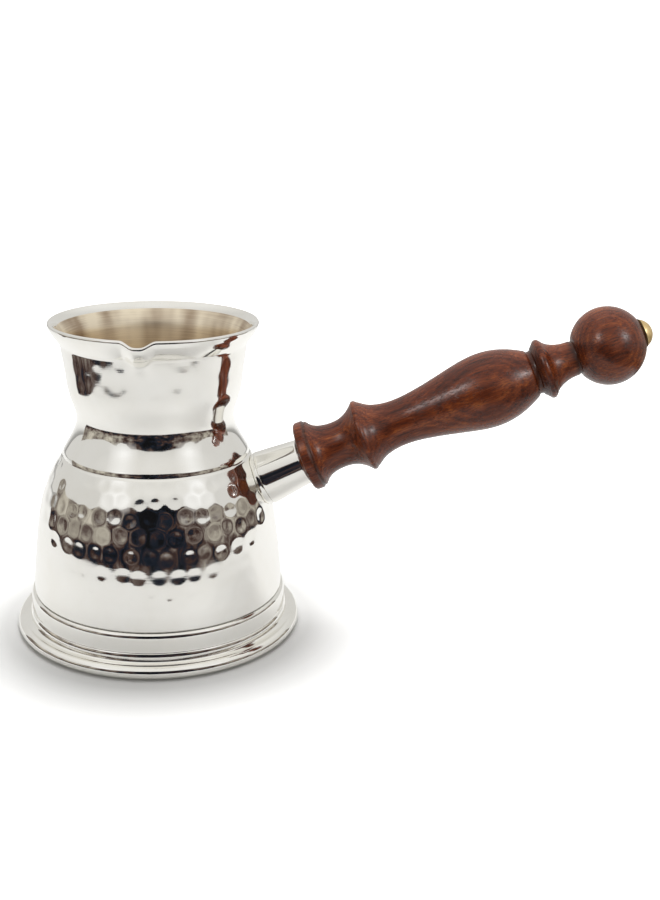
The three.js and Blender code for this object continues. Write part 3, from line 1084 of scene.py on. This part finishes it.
def make_washer():
    end = WASHER_START + WASHER_THICK
    radii = WASHER_EDGE, WASHER_EDGE
    outer = arc((WASHER_START + WASHER_EDGE, WASHER - WASHER_EDGE), radii, 180, 90, 4)
    far = arc((end - WASHER_EDGE, WASHER - WASHER_EDGE), radii, 90, 0, 4)
    outline = joined([(WASHER_START, ROD_HOLE)], outer, far, [(end, ROD_HOLE)])
    # The washer takes the brass painted almost black, as painted shade round the nut.
    return turned_on_handle_axis("brass_washer", outline, SMALL_SIDES, shade_dark_brass)


def make_dome_nut():
    """A low dome with a small round edge, hollow where the rod's thread goes in."""
    ball = (NUT**2 + NUT_HEIGHT**2) / (2 * NUT_HEIGHT)
    centre = NUT_START + NUT_HEIGHT - ball
    base_angle = math.degrees(math.atan2(NUT, NUT_START + NUT_RIM - centre))
    edge = [(NUT_START, NUT - 0.35), (NUT_START + 0.1, NUT - 0.1)]
    dome = arc((centre, 0), (ball, ball), base_angle, 2, 24)
    hole_end = NUT_START + THREAD_DEPTH
    outline = joined([(hole_end, 0.1), (hole_end, ROD_HOLE), (NUT_START, ROD_HOLE)], edge, dome)
    return turned_on_handle_axis("brass_dome_nut", outline, SMALL_SIDES, brass, closed=False)


belongs(make_washer(), "washer")
dome_nut = belongs(make_dome_nut(), "dome_nut")

# %% [markdown]
# ## The table, the light and the dark of the room
#
# A mirror shows what stands round it. This pot stands on a wide white sheet under an even white
# sky, which gives the bright bands and the soft shadow. In front of it is the dark of the room,
# and without it polished silver would look like white plastic. A curved screen stands for it: it
# shows only in reflections, so it neither hides the pot nor shades the table.

# %% Table and sky
TABLE_HALF = 4.0
PAPER = (0.8, 0.8, 0.795)
PURE_WHITE_FROM, PURE_WHITE_AT = 0.050, 0.085  # how far from the pot the paper turns pure white
SKY = (1, 0.99, 0.96)
SKY_IN_MIRRORS, SKY_AS_LIGHT, SKY_TO_CAMERA = 0.86, 0.46, 1.1


def told_apart(tree, question, no, yes):
    """One number for most rays and another for one kind of ray."""
    path = node(tree, "ShaderNodeLightPath")
    return ranged(tree, path.outputs[question], 0, 1, no, yes)


def white_table():
    """A sheet of grey-white paper, exposed to pure white away from the pot where it is seen."""
    mesh = bpy.data.meshes.new("table")
    corners = [(x * TABLE_HALF, y * TABLE_HALF, 0) for x, y in ((-1, -1), (1, -1), (1, 1), (-1, 1))]
    mesh.from_pydata(corners, [], [(0, 1, 2, 3)])
    material, tree, shader = new_material("white sheet")
    from_pot = node(tree, "ShaderNodeVectorMath", {0: object_place(tree)}, operation="LENGTH")
    far = ranged(tree, from_pot.outputs["Value"], PURE_WHITE_FROM, PURE_WHITE_AT, 0.0, 0.8)
    seen = maths(tree, "MULTIPLY", far, told_apart(tree, "Is Camera Ray", 0, 1))
    fill(tree, shader, {"Base Color": (*PAPER, 1), "Roughness": 0.9, "Specular IOR Level": 0.0})
    fill(tree, shader, {"Emission Color": (1, 1, 1, 1), "Emission Strength": seen})
    mesh.materials.append(material)
    table = put_in_scene("table", mesh)


def white_sky():
    """White to the camera, light grey in reflections and lighter overhead, and weak as a light, so
    that shadows stay."""
    world = bpy.data.worlds.new("white sky")
    world.use_nodes = True
    tree = world.node_tree
    background = tree.nodes["Background"]
    place = split_up(tree, node(tree, "ShaderNodeTexCoord").outputs["Generated"])
    height = ranged(tree, place["Z"], 0.45, 0.85, 0.80, 1.0)
    lit = maths(tree, "MULTIPLY", told_apart(tree, "Is Diffuse Ray", SKY_IN_MIRRORS, SKY_AS_LIGHT), height)
    seen = told_apart(tree, "Is Camera Ray", 0.0, SKY_TO_CAMERA)
    fill(tree, background, {"Color": (*SKY, 1), "Strength": maths(tree, "MAXIMUM", seen, lit)})
    bpy.context.scene.world = world


white_table()
white_sky()
bpy.context.scene.view_settings.view_transform = "Standard"
print("table and sky are in place")

# %% The dark of the room
ROOM_HEADING = -82  # degrees from +X, towards the front
ROOM_REACH = 0.205
ROOM_TOP, ROOM_SIDE_TOP = 0.145, 0.085
ROOM_SPREAD = 115
LAMP_SIDE = 44
ROOM_TONES = [
    (0.36, (0.006, 0.006, 0.007)),
    (0.45, (0.012, 0.018, 0.030)),
    (0.51, (0.045, 0.022, 0.016)),
    (0.60, (0.13, 0.10, 0.09)),
    (0.72, (0.36, 0.33, 0.28)),
    (0.85, (0.60, 0.56, 0.48)),
]


def bulge(value, middle, half_width):
    """1 round the middle, and falling off fast on both sides."""
    return np.exp(-(((value - middle) / half_width) ** 4))


def glowing(name):
    """A material that only glows; returns it, its tree, its output node and its glow."""
    material = bpy.data.materials.new(name)
    material.use_nodes = True
    tree = material.node_tree
    tree.nodes.clear()
    out = tree.nodes.new("ShaderNodeOutputMaterial")
    return material, tree, out, tree.nodes.new("ShaderNodeEmission")


def only_in_mirrors(piece):
    """The piece shows in reflections. It isn't seen, lights nothing dull and casts no shadow."""
    piece.visible_camera = False
    piece.visible_diffuse = False
    piece.visible_shadow = False
    piece.visible_transmission = False


def room_tones():
    """Dark shapes, lighter towards the sides."""
    material, tree, out, glow = glowing("dark of the room")
    place = object_place(tree)
    split = split_up(tree, place)
    shapes = noise(tree, stretched(tree, place, (26, 26, 20)), 1.0, 4.0, 0.7)
    sides = ranged(tree, apart(tree, split["X"], 0.02), 0.05, 0.18, -0.07, 0.22)
    sides = maths(tree, "MULTIPLY", sides, ranged(tree, split["Z"], 0.01, 0.05, 0.2, 1.0))
    fill(tree, glow, {"Color": range_of_colours(tree, maths(tree, "ADD", shapes, sides), ROOM_TONES)})
    fill(tree, out, {"Surface": glow.outputs[0]})
    return material


def room_screen():
    """Part of a drum round the front of the pot, nearest on the far left. Its top is highest in the
    middle and lower in front of each soft box."""
    away = np.radians(np.linspace(-ROOM_SPREAD, ROOM_SPREAD, 65))
    turned = np.degrees(away)
    nearer_left = 0.004 * bulge(turned, -92, 14)
    farther_right = 0.07 * ease(turned, 45, 90)
    reach = ROOM_REACH - nearer_left + farther_right
    top = ROOM_SIDE_TOP + (ROOM_TOP - ROOM_SIDE_TOP) * (1 - ease(np.abs(turned), 40, 75))
    lower_at_boxes = 0.04 * bulge(np.abs(turned), LAMP_SIDE, 8)
    higher_in_middle = 0.018 * bulge(turned, 0, 20)
    top = top - lower_at_boxes + higher_in_middle
    angles = math.radians(ROOM_HEADING) + away
    low = [(r * math.cos(a), r * math.sin(a), 0) for a, r in zip(angles, reach)]
    high = [(x, y, z) for (x, y, _), z in zip(low, top)]
    count = len(angles)
    mesh = bpy.data.meshes.new("room")
    mesh.from_pydata(low + high, [], [(i, i + 1, count + i + 1, count + i) for i in range(count - 1)])
    mesh.materials.append(room_tones())
    only_in_mirrors(put_in_scene("room", mesh))


room_screen()
print("the room stands round the front")

# %% Soft light


def soft_light(name, place, aim, size, watts):
    """A round soft lamp that faces its aim."""
    data = bpy.data.lights.new(name, "AREA")
    data.shape = "DISK"
    data.size = size
    data.energy = watts
    lamp = put_in_scene(name, data)
    lamp.location = place
    lamp.rotation_euler = (Vector(aim) - Vector(place)).to_track_quat("-Z", "Y").to_euler()
    return lamp


key = soft_light("behind and above", place=(0.03, 0.24, 0.62), aim=(0.02, 0, 0.03), size=0.6, watts=4.3)
key.visible_glossy = False
print("one light behind and above")

# %% [markdown]
# ## Two soft boxes
#
# The small lights on the lacquer come from two soft boxes in front, one at each side. On lacquer
# they are small spots, and on silver they are wide pale patches, because lacquer mirrors only a
# few percent of a light and needs a far brighter one. So each box is made twice: as a lamp that
# lights the wood and the dome nut alone, and as a pale card that fades at its edges for the silver.

# %% Soft boxes
CARD_REACH = ROOM_REACH - 0.01
CARD_LOW, CARD_HIGH = 0.09, 0.24
BOXES = [  # side, direction on the room's drum, width of the card, place of the lamp and its watts
    ("left", -LAMP_SIDE, 0.16, (-0.50, -0.55, 0.58), 1.7),
    ("right", LAMP_SIDE, 0.15, (0.68, -0.46, 0.58), 2.5),
]
BOX_AIM = (0.10, 0, 0.08)
BOX_SIZE = 0.2


def fading_glow():
    """Glows in the middle and is clear at its edges."""
    material, tree, out, glow = glowing("soft box cloth")
    clear = tree.nodes.new("ShaderNodeBsdfTransparent")
    place = split_up(tree, node(tree, "ShaderNodeTexCoord").outputs["Generated"])
    masks = [ranged(tree, apart(tree, place[axis], 0.5), 0.05, 0.5, 1, 0) for axis in "XZ"]
    shaders = {1: clear.outputs[0], 2: glow.outputs[0]}
    mix = node(tree, "ShaderNodeMixShader", {0: maths(tree, "MULTIPLY", *masks), **shaders})
    fill(tree, out, {"Surface": mix.outputs[0]})
    return material


def box_card(name, away, width, cloth):
    """An upright card in front of the room's drum."""
    angle = math.radians(ROOM_HEADING + away)
    middle = Vector((CARD_REACH * math.cos(angle), CARD_REACH * math.sin(angle), (CARD_LOW + CARD_HIGH) / 2))
    side = Vector((-math.sin(angle), math.cos(angle), 0)) * width / 2
    up = Vector((0, 0, (CARD_HIGH - CARD_LOW) / 2))
    corners = [middle - side - up, middle + side - up, middle + side + up, middle - side + up]
    mesh = bpy.data.meshes.new(name)
    mesh.from_pydata(corners, [], [(0, 1, 2, 3)])
    mesh.materials.append(cloth)
    only_in_mirrors(put_in_scene(name, mesh))


cloth = fading_glow()
lit_by_boxes = bpy.data.collections.new("lit by the boxes")
lit_by_boxes.objects.link(handle)
lit_by_boxes.objects.link(dome_nut)
for side, away, width, place, watts in BOXES:
    box_card(side + " card", away, width, cloth)
    lamp = soft_light(side + " box", place, BOX_AIM, BOX_SIZE, watts)
    lamp.light_linking.receiver_collection = lit_by_boxes
print("two soft boxes in front")

# %% [markdown]
# ## The end
#
# The fine model must stay within the working model's box.

# %% The end
import json
